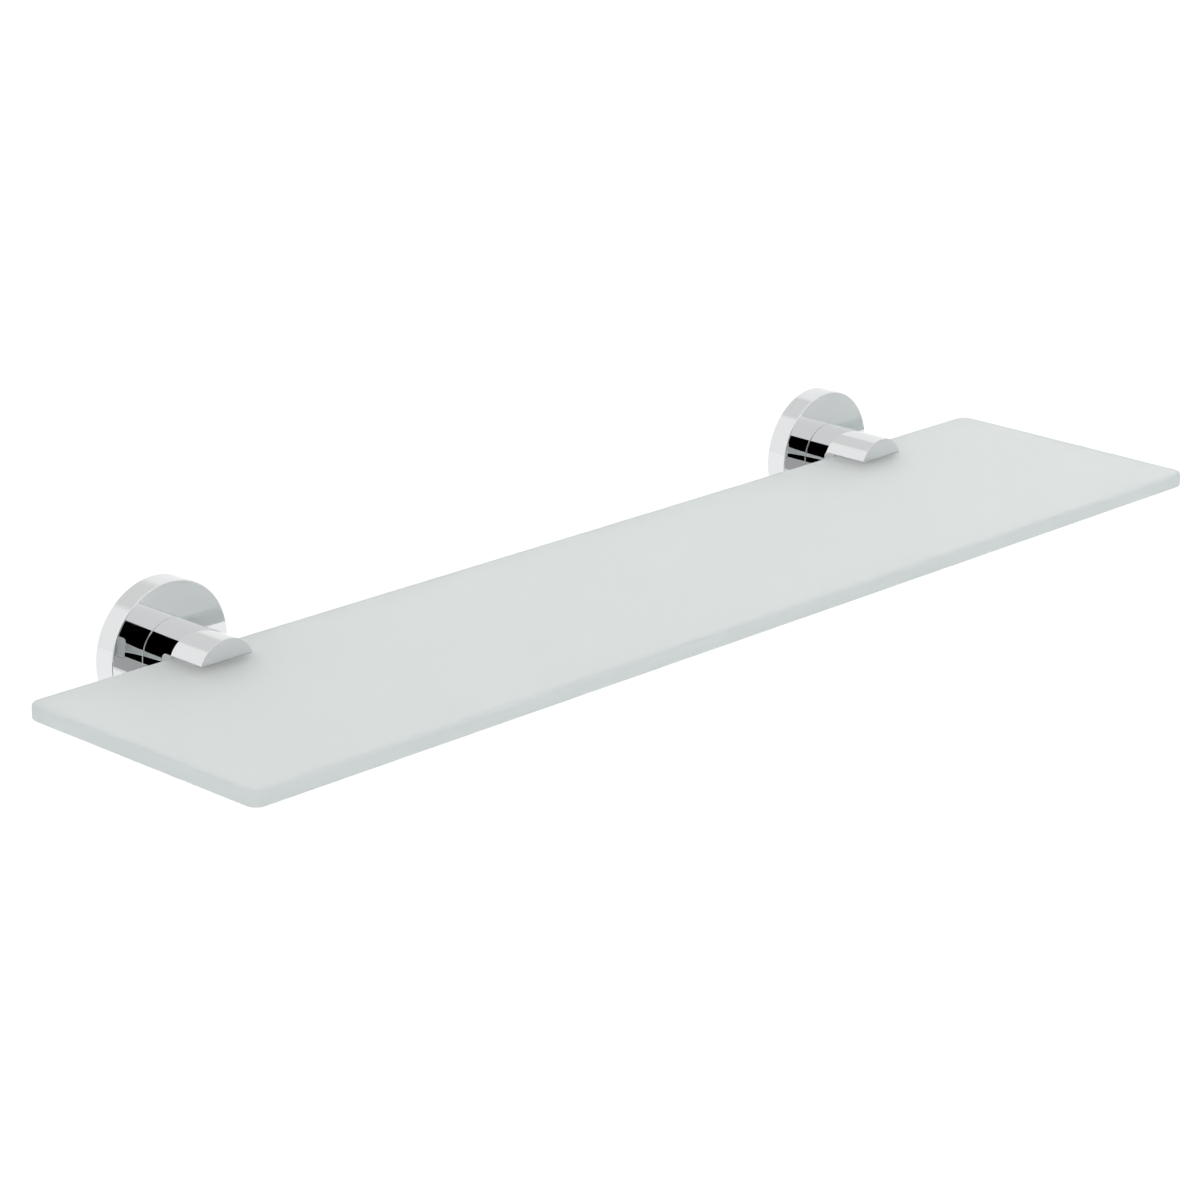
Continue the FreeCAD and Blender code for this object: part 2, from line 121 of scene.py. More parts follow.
# ---------------------------------------------------------------- shader arithmetic
class Value:
    """A number that varies over a surface, which takes part in Python arithmetic."""

    def __init__(self, shader: "Shader", socket: bpy.types.NodeSocket) -> None:
        """Keeps the shader and the socket that the number comes from.

        Args:
            shader: the shader whose tree the socket is in.
            socket: an output socket of that tree.
        """
        self.shader = shader
        self.socket = socket

    def __add__(self, other: "Value | float") -> "Value":
        """self + other."""
        return self.shader.sum(Sum.ADD, self, other)

    def __radd__(self, other: float) -> "Value":
        """other + self."""
        return self.shader.sum(Sum.ADD, other, self)

    def __sub__(self, other: "Value | float") -> "Value":
        """self - other."""
        return self.shader.sum(Sum.SUBTRACT, self, other)

    def __rsub__(self, other: float) -> "Value":
        """other - self."""
        return self.shader.sum(Sum.SUBTRACT, other, self)

    def __mul__(self, other: "Value | float") -> "Value":
        """self * other."""
        return self.shader.sum(Sum.MULTIPLY, self, other)

    def __rmul__(self, other: float) -> "Value":
        """other * self."""
        return self.shader.sum(Sum.MULTIPLY, other, self)

    def __truediv__(self, other: "Value | float") -> "Value":
        """self / other."""
        return self.shader.sum(Sum.DIVIDE, self, other)

    def __rtruediv__(self, other: float) -> "Value":
        """other / self."""
        return self.shader.sum(Sum.DIVIDE, other, self)

    def __abs__(self) -> "Value":
        """The size of self, without its sign."""
        return self.shader.sum(Sum.SIZE, self, 0.0)

    def sine(self) -> "Value":
        """The sine of self, in radians."""
        return self.shader.sum(Sum.SINE, self, 0.0)

    def between(self, low: float, high: float) -> "Value":
        """Where self lies between two limits.

        Args:
            low: gives 0 here and below, or above if it is the larger.
            high: gives 1 here and beyond.

        Returns:
            A smooth step from 0 to 1.
        """
        settings = {"interpolation_type": "SMOOTHSTEP", "clamp": True}
        sockets = {"Value": self, "From Min": low, "From Max": high}
        return self.shader.value("ShaderNodeMapRange", settings, sockets, "Result")


class Shader:
    """A material under construction: one Principled surface and the nodes that feed it."""

    PATCH_WIDTHS = 6               # size of the worn patches, in widths of the wear
    BEND_BEGINS, BEND_FULL = 0.995, 0.90  # cosines of the turn across an edge where wear begins and is full

    def __init__(self, name: str) -> None:
        """Starts an empty material.

        Args:
            name: the material's name.
        """
        self.material = bpy.data.materials.new(name)
        self.material.use_nodes = True
        self.tree = self.material.node_tree
        self.tree.nodes.clear()

    def node(
        self, kind: str, settings: dict[str, object], sockets: dict[str | int, object]
    ) -> bpy.types.Node:
        """Adds any node.

        Args:
            kind: the node's type.
            settings: the node's own properties, set first.
            sockets: each input's value, or the Value or socket that is linked to it.

        Returns:
            The node.
        """
        made = self.tree.nodes.new(kind)
        for key, setting in settings.items():
            setattr(made, key, setting)
        for key, given in sockets.items():
            if isinstance(given, Value):
                self.tree.links.new(given.socket, made.inputs[key])
            elif isinstance(given, bpy.types.NodeSocket):
                self.tree.links.new(given, made.inputs[key])
            else:
                made.inputs[key].default_value = given
        return made

    def value(
        self, kind: str, settings: dict[str, object], sockets: dict[str | int, object], output: str | int = 0
    ) -> Value:
        """Adds a node and takes one of its outputs.

        Args:
            kind: the node's type.
            settings: the node's own properties.
            sockets: each input's value or link.
            output: the output to take.

        Returns:
            That output, ready for arithmetic.
        """
        return Value(self, self.node(kind, settings, sockets).outputs[output])

    def sum(self, operation: Sum, left: "Value | float", right: "Value | float") -> Value:
        """Adds one Math node.

        Args:
            operation: what it does.
            left: its first number.
            right: its second number.

        Returns:
            Its result.
        """
        return self.value("ShaderNodeMath", {"operation": operation.value}, {0: left, 1: right})

    def place(self) -> Value:
        """The point being shaded, in the piece's own space, in metres."""
        return self.value("ShaderNodeTexCoord", {}, {}, "Object")

    def along(self, axis: str) -> Value:
        """One coordinate of the point being shaded.

        Args:
            axis: X, Y or Z.

        Returns:
            The coordinate in metres.
        """
        return self.value("ShaderNodeSeparateXYZ", {}, {"Vector": self.place()}, axis)

    def scaled(self, x: float, y: float, z: float) -> Value:
        """The point being shaded, stretched along each axis.

        Args:
            x: factor along X.
            y: factor along Y.
            z: factor along Z.

        Returns:
            The stretched point.
        """
        return self.value("ShaderNodeVectorMath", {"operation": "MULTIPLY"}, {0: self.place(), 1: (x, y, z)})

    def dot(self, way: Sequence[float]) -> Value:
        """How far along a direction the point being shaded is.

        Args:
            way: the direction.

        Returns:
            The distance in metres.
        """
        sockets = {0: self.place(), 1: way}
        return self.value("ShaderNodeVectorMath", {"operation": "DOT_PRODUCT"}, sockets, "Value")

    def speckle(self, size: float, detail: float = 3.0, at: Value | None = None) -> Value:
        """Cloudy noise between 0 and 1.

        Args:
            size: width of its largest blots, in metres.
            detail: how many finer layers are added.
            at: the point to look it up at, if it isn't the point being shaded.

        Returns:
            The noise.
        """
        sockets = {"Vector": at or self.place(), "Scale": 1.0 / size, "Detail": detail}
        return self.value("ShaderNodeTexNoise", {"noise_dimensions": "3D"}, sockets, 0)

    def distance_from(self, middle: Vector, across: Vector) -> Value:
        """Distance from an axis.

        Args:
            middle: a point on the axis, in metres.
            across: 1 for each direction that counts and 0 for the axis's own.

        Returns:
            The distance in metres.
        """
        sockets = {0: self.place(), 1: tuple(middle)}
        away = self.value("ShaderNodeVectorMath", {"operation": "SUBTRACT"}, sockets)
        flat = self.value("ShaderNodeVectorMath", {"operation": "MULTIPLY"}, {0: away, 1: tuple(across)})
        return self.value("ShaderNodeVectorMath", {"operation": "LENGTH"}, {0: flat}, "Value")

    def wear(self, width: float) -> Value:
        """Where a piece is rubbed: along its edges, in broken patches.

        Args:
            width: how far from an edge the wear reaches, in metres.

        Returns:
            0 where it is untouched and 1 where it is most worn.
        """
        rounded = self.value("ShaderNodeBevel", {"samples": 4}, {"Radius": width}, "Normal")
        plain = self.value("ShaderNodeNewGeometry", {}, {}, "Normal")
        sockets = {0: rounded, 1: plain}
        match = self.value("ShaderNodeVectorMath", {"operation": "DOT_PRODUCT"}, sockets, "Value")
        patches = self.speckle(self.PATCH_WIDTHS * width, 3.0).between(0.35, 0.65)
        return match.between(self.BEND_BEGINS, self.BEND_FULL) * patches

    def blend(self, share: Value, first: Colour, second: Colour) -> Value:
        """A colour between two colours.

        Args:
            share: 0 for the first and 1 for the second.
            first: one colour.
            second: the other colour.

        Returns:
            The colour.
        """
        sockets = {0: share, 6: (*first, 1.0), 7: (*second, 1.0)}
        return self.value("ShaderNodeMix", {"data_type": "RGBA", "blend_type": "MIX"}, sockets, 2)

    def bump(self, height: Value, depth: float) -> Value:
        """A bumped normal.

        Args:
            height: the surface's height, from 0 to 1.
            depth: what a height of 1 stands for, in metres.

        Returns:
            The normal.
        """
        sockets = {"Height": height, "Distance": depth, "Strength": 1.0}
        return self.value("ShaderNodeBump", {}, sockets, "Normal")

    def surface(self, **sockets: object) -> bpy.types.Material:
        """Finishes the material with one Principled surface.

        Args:
            sockets: its inputs, with an underscore for each space in their names.

        Returns:
            The material.
        """
        named = {key.replace("_", " "): given for key, given in sockets.items()}
        shader = self.node("ShaderNodeBsdfPrincipled", {"distribution": "MULTI_GGX"}, named)
        self.node("ShaderNodeOutputMaterial", {}, {"Surface": shader.outputs["BSDF"]})
        return self.material


# ---------------------------------------------------------------- finishes
@dataclass(frozen=True)
class PolishedChrome:
    """Bright chrome plate: a near mirror, with the faint waviness of buffed metal under it."""

    name: str = "polished_chrome"
    bright: Colour = (0.775, 0.784, 0.790)
    deep: Colour = (0.752, 0.762, 0.770)
    mirror: float = 0.012
    haze: float = 0.045
    tint_size: float = 0.030
    smudge_size: float = 0.012
    buffing_size: float = 0.0022
    waviness: float = 2.0e-7
    edge_wear: float = 0.0004
    rubbed_haze: float = 0.06

    def material(self) -> bpy.types.Material:
        """Builds the material.

        Returns:
            The chrome.
        """
        shader = Shader(self.name)
        tint = shader.speckle(self.tint_size, 2.0)
        smudge = shader.speckle(self.smudge_size, 4.0).between(0.45, 0.75)
        buffed = shader.speckle(self.buffing_size, 2.0, shader.scaled(1.0, 0.35, 1.0))
        rubbed = shader.wear(self.edge_wear)
        return shader.surface(
            Base_Color=shader.blend(tint * (1 - rubbed), self.bright, self.deep),
            Metallic=1.0,
            Roughness=self.mirror + smudge * (self.haze - self.mirror) + rubbed * self.rubbed_haze,
            Normal=shader.bump(buffed, self.waviness),
        )


@dataclass(frozen=True)
class SatinGlass:
    """Acid-etched toughened glass: a fine even frost on every face, with its own green at the edges."""

    half_length: float
    front: float
    back: float
    name: str = "satin_glass"
    body: Colour = (0.807, 0.835, 0.829)
    edge: Colour = (0.735, 0.79, 0.786)
    edge_band: float = 0.004
    cloud_size: float = 0.060
    etch_size: float = 0.00045
    pit_size: float = 0.0016
    frost: float = 0.62
    clearing: float = 0.06
    grain: float = 4.0e-6
    arris: float = 0.0008
    through: float = 0.50

    def material(self) -> bpy.types.Material:
        """Builds the material.

        Returns:
            The glass.
        """
        shader = Shader(self.name)
        x, y = shader.along("X"), shader.along("Y")
        from_end = self.half_length - abs(x)
        from_front = y - self.front
        from_back = self.back - y
        nearest = shader.sum(Sum.LOWEST, shader.sum(Sum.LOWEST, from_end, from_front), from_back)
        cloud = shader.speckle(self.cloud_size, 3.0)
        etched = shader.speckle(self.etch_size, 4.0)
        pits = shader.speckle(self.pit_size, 2.0)
        rim = nearest.between(self.edge_band, 0.0)
        ground = shader.wear(self.arris)
        share = rim * 0.9 + (cloud - 0.5) * 0.10 - ground * 0.3
        return shader.surface(
            Base_Color=shader.blend(share, self.body, self.edge),
            Roughness=self.frost - self.clearing * cloud + 0.05 * pits + ground * 0.08,
            IOR=1.52,
            Transmission_Weight=self.through,
            Normal=shader.bump(etched * 0.7 + pits * 0.3, self.grain),
        )


@dataclass(frozen=True)
class TurnedBrass:
    """Unplated brass, faced on a lathe, with the tool's rings still on it and a little tarnish."""

    axis: tuple[float, float, float]
    name: str = "turned_brass"
    bright: Colour = (0.78, 0.60, 0.29)
    tarnish: Colour = (0.55, 0.38, 0.17)
    ring_pitch: float = 0.00034
    ring_depth: float = 1.6e-5
    stain_size: float = 0.006
    grain_size: float = 0.0008
    edge_wear: float = 0.0005

    def material(self) -> bpy.types.Material:
        """Builds the material.

        Returns:
            The brass.
        """
        shader = Shader(self.name)
        radius = shader.distance_from(Vector(self.axis), Vector((1, 0, 1)))
        rings = (radius * (2 * math.pi / self.ring_pitch)).sine() * 0.5 + 0.5
        stain = shader.speckle(self.stain_size, 6.0)
        fine = shader.speckle(self.grain_size, 3.0)
        rubbed = shader.wear(self.edge_wear)
        dirt = stain.between(0.45, 0.80) * 0.7 + (1 - rings) * 0.22
        return shader.surface(
            Base_Color=shader.blend(dirt * (1 - rubbed), self.bright, self.tarnish),
            Metallic=1.0,
            Roughness=0.24 + stain * 0.22 - rubbed * 0.08,
            Normal=shader.bump(rings * 0.75 + fine * 0.25, self.ring_depth),
        )


@dataclass(frozen=True)
class MachinedSteel:
    """Bright steel hardware, zinc plated or plain stainless, with fine tool marks and duller patches here and
    there.
    """

    name: str
    bright: Colour
    dull: Colour
    gloss: float
    spread: float
    patch_size: float = 0.0035
    mark_size: float = 0.00025
    mark_depth: float = 6.0e-6
    edge_wear: float = 0.0002

    def material(self) -> bpy.types.Material:
        """Builds the material.

        Returns:
            The steel.
        """
        shader = Shader(self.name)
        patch = shader.speckle(self.patch_size, 5.0)
        fine = shader.speckle(self.mark_size, 3.0, shader.scaled(1.0, 1.0, 4.0))
        rubbed = shader.wear(self.edge_wear)
        return shader.surface(
            Base_Color=shader.blend(patch.between(0.35, 0.75) * (1 - rubbed), self.bright, self.dull),
            Metallic=1.0,
            Roughness=self.gloss + patch * self.spread - rubbed * 0.1,
            Normal=shader.bump(fine, self.mark_depth),
        )


@dataclass(frozen=True)
class TurnedNylon:
    """Natural nylon: milky, a little translucent, with faint tool rings."""

    name: str = "turned_nylon"
    pale: Colour = (0.86, 0.86, 0.82)
    warm: Colour = (0.78, 0.76, 0.69)
    cloud_size: float = 0.0025
    ring_size: float = 0.0003
    ring_depth: float = 3.0e-6
    glow_depth: float = 0.0012
    edge_wear: float = 0.00025

    def material(self) -> bpy.types.Material:
        """Builds the material.

        Returns:
            The nylon.
        """
        shader = Shader(self.name)
        cloud = shader.speckle(self.cloud_size, 4.0)
        fine = shader.speckle(self.ring_size, 2.0, shader.scaled(1.0, 1.0, 5.0))
        rubbed = shader.wear(self.edge_wear)
        return shader.surface(
            Base_Color=shader.blend(cloud + rubbed * 0.4, self.pale, self.warm),
            Roughness=0.42 + cloud * 0.16 - rubbed * 0.1,
            Subsurface_Weight=0.35,
            Subsurface_Scale=self.glow_depth,
            Normal=shader.bump(fine, self.ring_depth),
        )


@dataclass(frozen=True)
class ClearVinyl:
    """Soft clear vinyl: slightly milky, with the dull skin that moulding leaves."""

    name: str = "clear_vinyl"
    clear: Colour = (0.95, 0.965, 0.965)
    cool: Colour = (0.90, 0.93, 0.935)
    cloud_size: float = 0.004
    skin_size: float = 0.0006
    skin_depth: float = 4.0e-6
    edge_wear: float = 0.0002

    def material(self) -> bpy.types.Material:
        """Builds the material.

        Returns:
            The vinyl.
        """
        shader = Shader(self.name)
        cloud = shader.speckle(self.cloud_size, 3.0)
        skin = shader.speckle(self.skin_size, 3.0)
        rubbed = shader.wear(self.edge_wear)
        return shader.surface(
            Base_Color=shader.blend(cloud + rubbed * 0.3, self.clear, self.cool),
            Roughness=0.14 + cloud * 0.14 + rubbed * 0.2,
            IOR=1.53,
            Transmission_Weight=0.45,
            Normal=shader.bump(skin, self.skin_depth),
        )


# ---------------------------------------------------------------- mesh work
def arc(centre: Vector, start: Vector, end: Vector, steps: int = ARC_STEPS) -> Loop:
    """Points along the shorter arc between two points.

    Args:
        centre: the arc's centre.
        start: its first point.
        end: its last point, as far from the centre as the first.
        steps: how many steps it is made in.

    Returns:
        The points, both ends included.
    """
    first, last = start - centre, end - centre
    angle = first.angle(last)
    points = []
    for step in range(steps + 1):
        share = step / steps
        near = math.sin((1 - share) * angle) / math.sin(angle)
        far = math.sin(share * angle) / math.sin(angle)
        points.append(centre + first * near + last * far)
    return points


def outline(corners: Sequence[tuple[float, float] | tuple[float, float, float]]) -> list[tuple[float, float]]:
    """An open outline with some of its corners rounded.

    Args:
        corners: (radius, height) for a sharp corner, or (radius, height, rounding) for a rounded one.

    Returns:
        The outline's points, as (radius, height).
    """
    points: list[tuple[float, float]] = []
    for index, corner in enumerate(corners):
        here = Vector((corner[0], corner[1], 0))
        if len(corner) < 3 or index in (0, len(corners) - 1):
            points.append((here.x, here.y))
            continue
        before = (Vector((*corners[index - 1][:2], 0)) - here).normalized()
        after = (Vector((*corners[index + 1][:2], 0)) - here).normalized()
        half = before.angle(after) / 2
        reach = corner[2] / math.tan(half)
        centre = here + (before + after).normalized() * (corner[2] / math.sin(half))
        points += [(p.x, p.y) for p in arc(centre, here + before * reach, here + after * reach)]
    return points


def spread(first: float, last: float, steps: int) -> list[float]:
    """Evenly spaced numbers from one to another, both included."""
    return [first + (last - first) * step / steps for step in range(steps + 1)]


def rounding(size: float, steps: int = ARC_STEPS) -> list[tuple[float, float]]:
    """A quarter round between two faces.

    Args:
        size: its radius.
        steps: how many steps it is made in.

    Returns:
        (inset, rise) pairs, from (size, 0) to (0, size).
    """
    angles = spread(0, math.pi / 2, steps)
    return [(size * (1 - math.sin(angle)), size * (1 - math.cos(angle))) for angle in angles]


@dataclass(frozen=True)
class Thread:
    """A screw thread: a ridge that winds round a cylinder.

    Attributes:
        crest: radius over the ridge.
        pitch: how far the ridge climbs in a turn.
        start: height at which it begins.
        end: height at which it ends.
        depth: how deep the groove beside it is.
    """

    FLAT: ClassVar[float] = 0.1    # flat at the crest and at the root, as a share of the pitch
    RUN_OUT: ClassVar[float] = 0.6  # how soon the groove reaches its full depth, in pitches

    crest: float
    pitch: float
    start: float
    end: float
    depth: float

    def heights(self) -> list[float]:
        """Heights of the rings that carry the thread."""
        count = max(4, round((self.end - self.start) / self.pitch * RIDGES_PER_PITCH))
        return [self.start + (self.end - self.start) * step / count for step in range(count + 1)]

    def radius(self, height: float, turn: float) -> float:
        """The surface's radius at a point of the thread.

        Args:
            height: how far up it is.
            turn: how far round it is, from 0 to 1.

        Returns:
            The radius.
        """
        phase = (height / self.pitch - turn) % 1.0
        ridge = abs(2 * phase - 1)
        groove = 1 - min(1.0, max(0.0, (ridge - self.FLAT) / (1 - 2 * self.FLAT)))
        run_out = min(height - self.start, self.end - height) / (self.RUN_OUT * self.pitch)
        return self.crest - self.depth * groove * min(1.0, max(0.0, run_out))


class Work:
    """A mesh being made, in millimetres, with its own axis along +Z."""

    SAME = 1e-6                    # two lengths closer than this are the same

    def __init__(self) -> None:
        """Starts an empty mesh."""
        self.mesh = bmesh.new()

    def ring(self, points: Iterable[Vector]) -> Ring:
        """Adds vertices at the points."""
        return [self.mesh.verts.new(point) for point in points]

    def bridge(self, low: Ring, high: Ring) -> None:
        """Joins two closed rings, or a ring and a single vertex, with faces.

        Args:
            low: one ring.
            high: the other ring.
        """
        count = max(len(low), len(high))
        for index in range(count):
            after = (index + 1) % count
            if len(low) == 1:
                self.mesh.faces.new((low[0], high[after], high[index]))
            elif len(high) == 1:
                self.mesh.faces.new((low[index], low[after], high[0]))
            else:
                self.mesh.faces.new((low[index], low[after], high[after], high[index]))

    def turned(
        self,
        profile: Sequence[tuple[float, float]],
        segments: int = SMALL_SEGMENTS,
        ringed: bool = False,
        thread: Thread | None = None,
    ) -> "Work":
        """Adds a turned solid.

        Args:
            profile: (radius, height) points, in order up the outside; a radius of 0 is a point on the axis.
            segments: faces round it.
            ringed: whether the last point joins the first, as on a ring.
            thread: a thread cut into it between the thread's two heights.

        Returns:
            This mesh.
        """
        points = list(profile)
        if thread is not None:
            below = [point for point in points if point[1] < thread.start - self.SAME]
            above = [point for point in points if point[1] > thread.end + self.SAME]
            points = below + [(thread.crest, height) for height in thread.heights()] + above
        rings = []
        for radius, height in points:
            if radius < self.SAME:
                rings.append(self.ring([Vector((0, 0, height))]))
                continue
            corners = []
            for step in range(segments):
                turn = step / segments
                threaded = thread is not None and thread.start <= height <= thread.end
                reach = thread.radius(height, turn) if threaded else radius
                angle = turn * 2 * math.pi
                corners.append(Vector((reach * math.cos(angle), reach * math.sin(angle), height)))
            rings.append(self.ring(corners))
        pairs = list(zip(rings, rings[1:]))
        if ringed:
            pairs.append((rings[-1], rings[0]))
        for low_ring, high_ring in pairs:
            self.bridge(low_ring, high_ring)
        return self

    def lofted(self, loops: Sequence[Loop]) -> "Work":
        """Adds a solid skinned over loops, with its two ends closed.

        Args:
            loops: closed loops of as many points each, anticlockwise seen from the last one's side.

        Returns:
            This mesh.
        """
        rings = [self.ring(loop) for loop in loops]
        for low, high in zip(rings, rings[1:]):
            self.bridge(low, high)
        self.mesh.faces.new(list(reversed(rings[0])))
        self.mesh.faces.new(rings[-1])
        return self

    def moved(self, way: Way, start: Vector) -> "Work":
        """Aims the mesh's own axis and sets its origin down in the shelf's frame, still in millimetres.

        Args:
            way: where +Z goes.
            start: where the mesh's origin goes.

        Returns:
            This mesh.
        """
        self.mesh.transform(Matrix.Translation(start) @ way.turn())
        return self

    def done(self, name: str) -> bpy.types.Object:
        """Turns the mesh into an object in metres.

        Args:
            name: the object's name.

        Returns:
            The object, linked to the scene.
        """
        bmesh.ops.recalc_face_normals(self.mesh, faces=self.mesh.faces[:])
        self.mesh.transform(Matrix.Scale(MM, 4))
        data = bpy.data.meshes.new(name)
        self.mesh.to_mesh(data)
        self.mesh.free()
        made = bpy.data.objects.new(name, data)
        bpy.context.scene.collection.objects.link(made)
        return made


def settle(piece: bpy.types.Object) -> None:
    """Replaces a piece's mesh by what its modifiers make of it.

    Args:
        piece: the piece.
    """
    graph = bpy.context.evaluated_depsgraph_get()
    graph.update()
    data = bpy.data.meshes.new_from_object(piece.evaluated_get(graph))
    old = piece.data
    piece.modifiers.clear()
    piece.data = data
    data.name = piece.name
    bpy.data.meshes.remove(old)


def cut(piece: bpy.types.Object, tools: Sequence[Work]) -> bpy.types.Object:
    """Cuts tools out of a piece.

    Args:
        piece: the piece, which changes.
        tools: closed meshes in the shelf's frame, in millimetres.

    Returns:
        The piece.
    """
    for tool in tools:
        cutter = tool.done("cutter")
        modifier = piece.modifiers.new("cut", "BOOLEAN")
        modifier.operation = "DIFFERENCE"
        modifier.solver = "EXACT"
        modifier.object = cutter
        settle(piece)
        spent = cutter.data
        bpy.data.objects.remove(cutter)
        bpy.data.meshes.remove(spent)
    return piece


def finished(
    piece: bpy.types.Object, material: bpy.types.Material, node: str, body: str
) -> bpy.types.Object:
    """Smooths, dresses and hands over a piece.

    Args:
        piece: the piece, in its place.
        material: its finish.
        node: the frame's node that it stands for.
        body: the body that it moves with.

    Returns:
        The piece.
    """
    data = piece.data
    work = bmesh.new()
    work.from_mesh(data)
    bmesh.ops.remove_doubles(work, verts=work.verts[:], dist=SAME_PLACE)
    for face in work.faces:
        face.smooth = True
    for edge in work.edges:
        edge.smooth = edge.is_manifold and edge.calc_face_angle(math.pi) < SHARP_ANGLE
    work.to_mesh(data)
    work.free()
    data.materials.clear()
    data.materials.append(material)
    weighted = piece.modifiers.new("flat faces first", "WEIGHTED_NORMAL")
    weighted.mode = "FACE_AREA"
    weighted.weight = 100
    weighted.keep_sharp = True
    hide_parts(node)
    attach(piece, body)
    LOG.info("%s: %d faces, moves with %s", piece.name, len(data.polygons), body)
    return piece


@dataclass(frozen=True)
class Extent:
    """A node's box in the shelf's frame, in millimetres."""

    low: Vector
    high: Vector

    @classmethod
    def of(cls, node: str) -> "Extent":
        """Reads the frame's box of a node."""
        low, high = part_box(node)
        return cls(low / MM, high / MM)

    @property
    def middle(self) -> Vector:
        """The box's middle."""
        return (self.low + self.high) / 2

    @property
    def radius(self) -> float:
        """Half its width along X, which is a round piece's radius."""
        return (self.high.x - self.low.x) / 2

    def length(self, way: Way) -> float:
        """Its length along a direction."""
        return sum(abs(aim) * (high - low) for aim, low, high in zip(way.value, self.low, self.high))

    def start(self, way: Way) -> Vector:
        """The middle of the face at which a piece aimed that way begins."""
        faces = zip(way.value, self.low, self.middle, self.high)
        return Vector([low if aim > 0 else high if aim < 0 else middle for aim, low, middle, high in faces])


def hexagon(flats: float, low: float, high: float, point: float) -> Work:
    """A key socket as a cutting tool, with a drilled cone at its bottom.

    Args:
        flats: its size across the flats.
        low: height of its bottom.
        high: height of its top.
        point: how deep the cone is, or 0 for a flat bottom.

    Returns:
        The tool.
    """
    reach = flats / math.sqrt(3)
    angles = [math.radians(60 * corner) for corner in range(6)]
    loops = []
    cone_tip, cone_mouth = 0.12, 0.86
    for share, height in ((cone_tip, low - point), (cone_mouth, low), (1.0, low), (1.0, high)):
        radius = share * reach
        loops.append([Vector((radius * math.cos(a), radius * math.sin(a), height)) for a in angles])
    return Work().lofted(loops)


def drilled(radius: float, low: float, high: float) -> Work:
    """A plain hole as a cutting tool.

    Args:
        radius: the hole's radius.
        low: height of its lower end.
        high: height of its upper end.

    Returns:
        The tool.
    """
    return Work().turned([(0, low), (radius, low), (radius, high), (0, high)])


# ---------------------------------------------------------------- the glass
@dataclass
class GlassPane:
    """The shelf itself: one pane with rounded corners and ground edges."""

    corner: float = 5.0
    edge: float = 1.4
    corner_steps: int = 20
    edge_steps: int = 8

    def loop(self, inset: float, height: float, low: Vector, high: Vector) -> Loop:
        """The pane's outline at one height.

        Args:
            inset: how far inside the widest outline it is.
            height: its height.
            low: the pane's lowest corner.
            high: the pane's highest corner.

        Returns:
            A closed loop, anticlockwise from above.
        """
        radius = self.corner - inset
        points = []
        for quarter in range(4):
            x = high.x - self.corner if quarter in (0, 3) else low.x + self.corner
            y = high.y - self.corner if quarter in (0, 1) else low.y + self.corner
            first = math.radians(90 * quarter)
            for angle in spread(first, first + math.pi / 2, self.corner_steps):
                points.append(Vector((x + radius * math.cos(angle), y + radius * math.sin(angle), height)))
        return points

    def build(self) -> bpy.types.Object:
        """Makes the pane.

        Returns:
            The pane.
        """
        box = Extent.of("glass_shelf")
        low, high = box.low, box.high
        edge = rounding(self.edge, self.edge_steps)
        loops = [self.loop(inset, low.z + rise, low, high) for inset, rise in edge]
        loops += [self.loop(inset, high.z - rise, low, high) for inset, rise in reversed(edge)]
        pane = Work().lofted(loops).done("glass_pane")
        glass = SatinGlass(half_length=high.x * MM, front=low.y * MM, back=high.y * MM)
        return finished(pane, glass.material(), "glass_shelf", "glass")


# ---------------------------------------------------------------- one bracket
@dataclass
class Finishes:
    """The materials that both brackets share."""

    chrome: bpy.types.Material
    zinc: bpy.types.Material
    stainless: bpy.types.Material
    nylon: bpy.types.Material
    vinyl: bpy.types.Material

    @classmethod
    def mixed(cls) -> "Finishes":
        """Makes each material once."""
        zinc = MachinedSteel("zinc_plate", (0.58, 0.60, 0.62), (0.36, 0.37, 0.37), 0.24, 0.22)
        stainless = MachinedSteel("stainless", (0.56, 0.56, 0.55), (0.33, 0.32, 0.31), 0.20, 0.20)
        return cls(
            chrome=PolishedChrome().material(),
            zinc=zinc.material(),
            stainless=stainless.material(),
            nylon=TurnedNylon().material(),
            vinyl=ClearVinyl().material(),
        )


